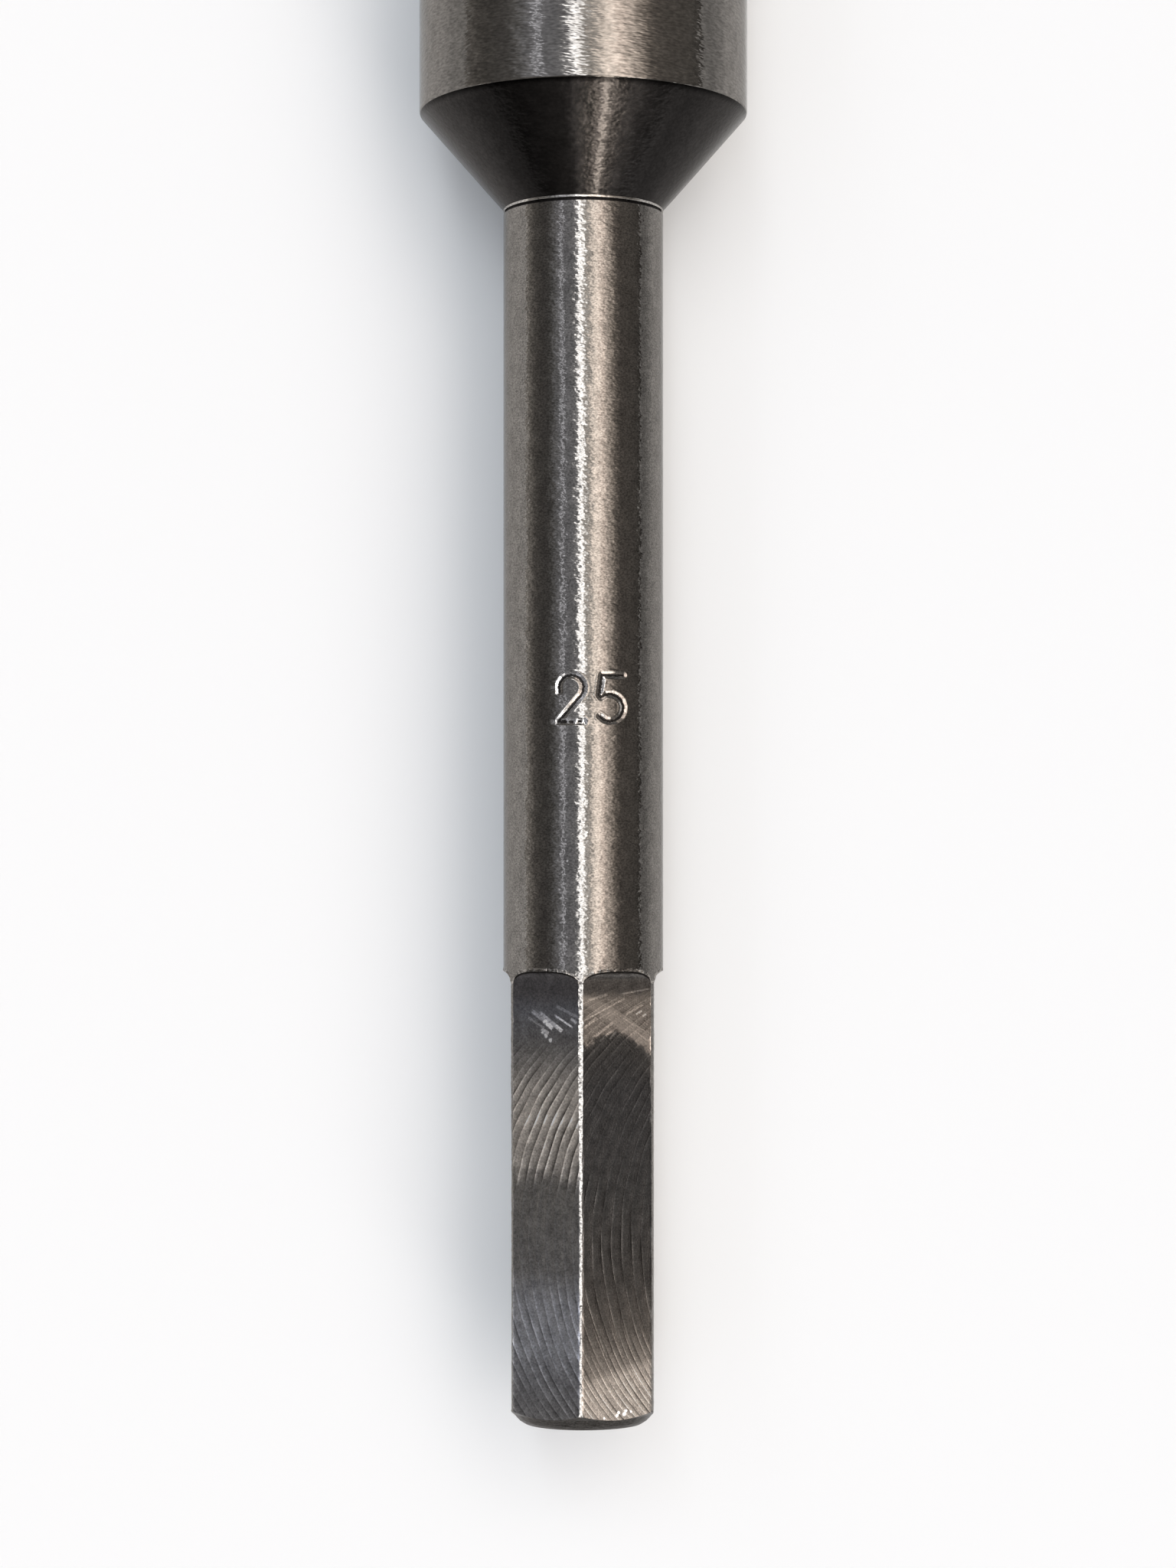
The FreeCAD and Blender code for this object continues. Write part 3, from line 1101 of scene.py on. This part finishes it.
def make_finishes():
    """One material for each finish of the bit."""
    # Painted shade on the cone just below the collar's edge
    cone_painted_shade = (collar_along - 0.45, collar_along - 0.15)
    made = {
        # The turned shank and the collar have painted reflection round them
        "turned": turned_finish("turned_steel", steel_colour, 0.1, (0.48, 0.26), 0.026,
                                painted_light=shank_painted_reflection),
        # The stamp's walls are painted lighter than the turned steel, as a highlight
        "stamp": turned_finish("stamped_steel", (0.37, 0.35, 0.33), 0.12, (0.5, 0.26), 0.008),
        "collar": turned_finish("collar_steel", steel_colour, 0.1, (0.8, 0.2), 0.034, 0.7,
                                (0.4, 0.14), 0.26, collar_painted_reflection),
        "groove": turned_finish("groove_shade", (0.012, 0.011, 0.011), 0.5, (0.5, 0.3), 0.01),
        # Painted shade in the crease of the run-out and on the floor of the stamp
        "crease": turned_finish("crease_shade", dark_colour, 0.5, (0.4, 0.3), 0.02),
        # The bead's rounding catches light, and its colour is painted lighter than the steel as a
        # highlight
        "bead": turned_finish("bead_steel", (0.42, 0.4, 0.375), 0.22, (0.5, 0.3), 0.02),
        # The cone's dark oxide, with painted highlights round it and painted shade below the
        # collar's edge
        "cone": turned_finish("cone_oxide", dark_colour, 0.22, (0.45, 0.28), 0.018, 0.4,
                              (0.2, 0.2), 0.2, cone_painted_highlights, cone_painted_shade),
        "end": turned_finish("end_oxide", (0.06, 0.056, 0.052), 0.3, (1.2, 0.12), 0.03),
        "burr": burr_finish(),
        "flute": flute_finish("flute_steel", steel_colour, 0.3),
        "ground": flute_finish("ground_steel", steel_colour, 0.24),
    }
    for index in range(6):
        look = {0: right_look, 5: left_look}.get(index, plain_look)
        made[f"flat_{index}"] = milled_finish(f"milled_flat_{index}", index, look)
    return made


finishes_made = make_finishes()


def without_slivers(mesh, size):
    """Merges what is closer than a size, as booleans leave it where faces meet."""
    work = bmesh.new()
    work.from_mesh(mesh)
    bmesh.ops.dissolve_degenerate(work, dist=size, edges=work.edges)
    work.to_mesh(mesh)
    work.free()


def build_bit():
    """The steel bit as one closed mesh."""
    bit = linked(turned_and_fluted(), "auger_bit_steel")
    add_finishes(bit.data)
    combined(bit, head_waste(), "DIFFERENCE")
    screw = combined(lead_screw_core(), lead_screw_thread(), "UNION")
    combined(bit, screw, "UNION")
    mesh = bit.data
    without_slivers(mesh, sliver_size * metres)
    least_area = flat_from_area * metres ** 2
    smooth = [face.material_index != ground_index or face.area < least_area
              for face in mesh.polygons]
    mesh.polygons.foreach_set("use_smooth", smooth)
    mesh.set_sharp_from_angle(angle=radians(smooth_up_to))
    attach(bit, "root")
    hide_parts("auger_bit")


# Light, floor and camera

strength = 6.0
# Angle from straight up towards +X, and the light that comes from there
sky = [
    (-90, (0.8, 0.77, 0.74)), (-82, (0.48, 0.46, 0.44)), (-74, (0.26, 0.25, 0.24)),
    (-64, (0.19, 0.185, 0.18)), (-53, (0.17, 0.165, 0.165)), (-47, (0.21, 0.21, 0.21)),
    (-41, (0.36, 0.365, 0.385)), (-35, (0.48, 0.495, 0.54)), (-30.3, (0.6, 0.62, 0.69)),
    (-29.3, (2.4, 2.5, 2.8)), (-28.6, (2.4, 2.5, 2.8)), (-27.6, (0.5, 0.515, 0.57)),
    (-11, (0.52, 0.535, 0.58)), (-7.2, (0.7, 0.71, 0.74)), (-5.0, (4.2, 4.3, 4.5)),
    (-3.7, (5.6, 5.7, 5.9)), (0.4, (5.6, 5.7, 5.9)), (1.7, (4.0, 4.0, 4.05)),
    (3.8, (1.3, 1.27, 1.23)), (10, (1.35, 1.28, 1.22)), (14, (3.1, 2.85, 2.65)),
    (23, (3.65, 3.3, 3.05)), (29, (2.7, 2.35, 2.15)), (35, (1.62, 1.45, 1.33)),
    (41, (1.1, 0.98, 0.89)), (47, (0.48, 0.43, 0.39)), (54, (0.24, 0.22, 0.205)),
    (90, (0.2, 0.19, 0.18))]
horizon_light = (0.19, 0.185, 0.18)
# The strips fade into the light of the room from this tilt along the bit
strip_end, strip_fade = 30.0, 12.0
# From this tilt along the bit the strips bend aside, by a share of the tilt beyond it
bend_from, bend_slope = 5.0, 0.36
# Small warm lamps beyond the end of the shank: angle across, tilt along, radius and light
low_lamps = [(30.0, -66.0, 6.0, (9.5, 8.7, 7.8)), (40.0, -40.0, 11.0, (4.2, 3.9, 3.6))]


def dimmed(colour):
    """A light's colour before the strength of the world, which ramps can hold."""
    return tuple(value / strength for value in colour)


def make_sky():
    """Soft strips of light that run along the bit, over a plain grey room."""
    world = bpy.data.worlds.new("studio")
    bpy.context.scene.world = world
    world.use_nodes = True
    direction = coordinates(world.node_tree, "Generated")
    x, y, z = parted(direction)
    beyond = maths("MAXIMUM", y - radians(bend_from), 0.0)
    angle = bend_slope * beyond + maths("ARCTAN2", x, z)
    stops = [((place + 90) / 180, dimmed(colour)) for place, colour in sky]
    strips = ramp(fitted(angle, -pi / 2, pi / 2), stops)
    far = fitted(abs(y), sin(radians(strip_end)),
                 sin(radians(strip_end + strip_fade)))
    light = mixed(far, strips, rgba(dimmed(horizon_light)))
    for turn, lean, radius, colour in low_lamps:
        across, along = radians(turn), radians(lean)
        towards = (sin(across) * cos(along), sin(along),
                   cos(across) * cos(along))
        facing = node_value("ShaderNodeVectorMath", {0: direction, 1: towards}, "Value",
                            operation="DOT_PRODUCT")
        inside = fitted(facing, cos(radians(radius)),
                        cos(radians(0.4 * radius)))
        light = mixed(inside, light, rgba(dimmed(colour)))
    background = world.node_tree.nodes["Background"]
    connect(light, background.inputs["Color"])
    background.inputs["Strength"].default_value = strength


floor_colour = (0.905, 0.94, 0.965)


def make_floor():
    """A large plain pale floor, sized in metres."""
    half = 30.0
    mesh = bpy.data.meshes.new("floor")
    mesh.from_pydata([(-half, -half, 0), (half, -half, 0), (half, half, 0), (-half, half, 0)],
                     [], [[0, 1, 2, 3]])
    material, shader = new_material("pale_floor")
    shader.inputs["Base Color"].default_value = rgba(floor_colour)
    shader.inputs["Roughness"].default_value = 0.9
    shader.inputs["Specular IOR Level"].default_value = 0.0
    mesh.materials.append(material)
    linked(mesh, "floor")


def make_camera():
    """Looks straight down on the shank, and takes in the collar by a small shift."""
    camera = bpy.data.cameras.new("camera")
    made = linked(camera, "camera")
    camera.lens = 81.2
    camera.sensor_width = 36.0
    camera.shift_x = 0.003
    camera.shift_y = 0.0928
    camera.clip_start = 0.01
    camera.clip_end = 100.0
    camera_along = 37.6
    camera_height = 270.0
    made.location = (0, (shank_end + camera_along) * metres,
                     (axis_height + camera_height) * metres)
    bpy.context.scene.camera = made


build_bit()
make_sky()
make_floor()
make_camera()
bpy.context.scene.view_settings.view_transform = "Standard"
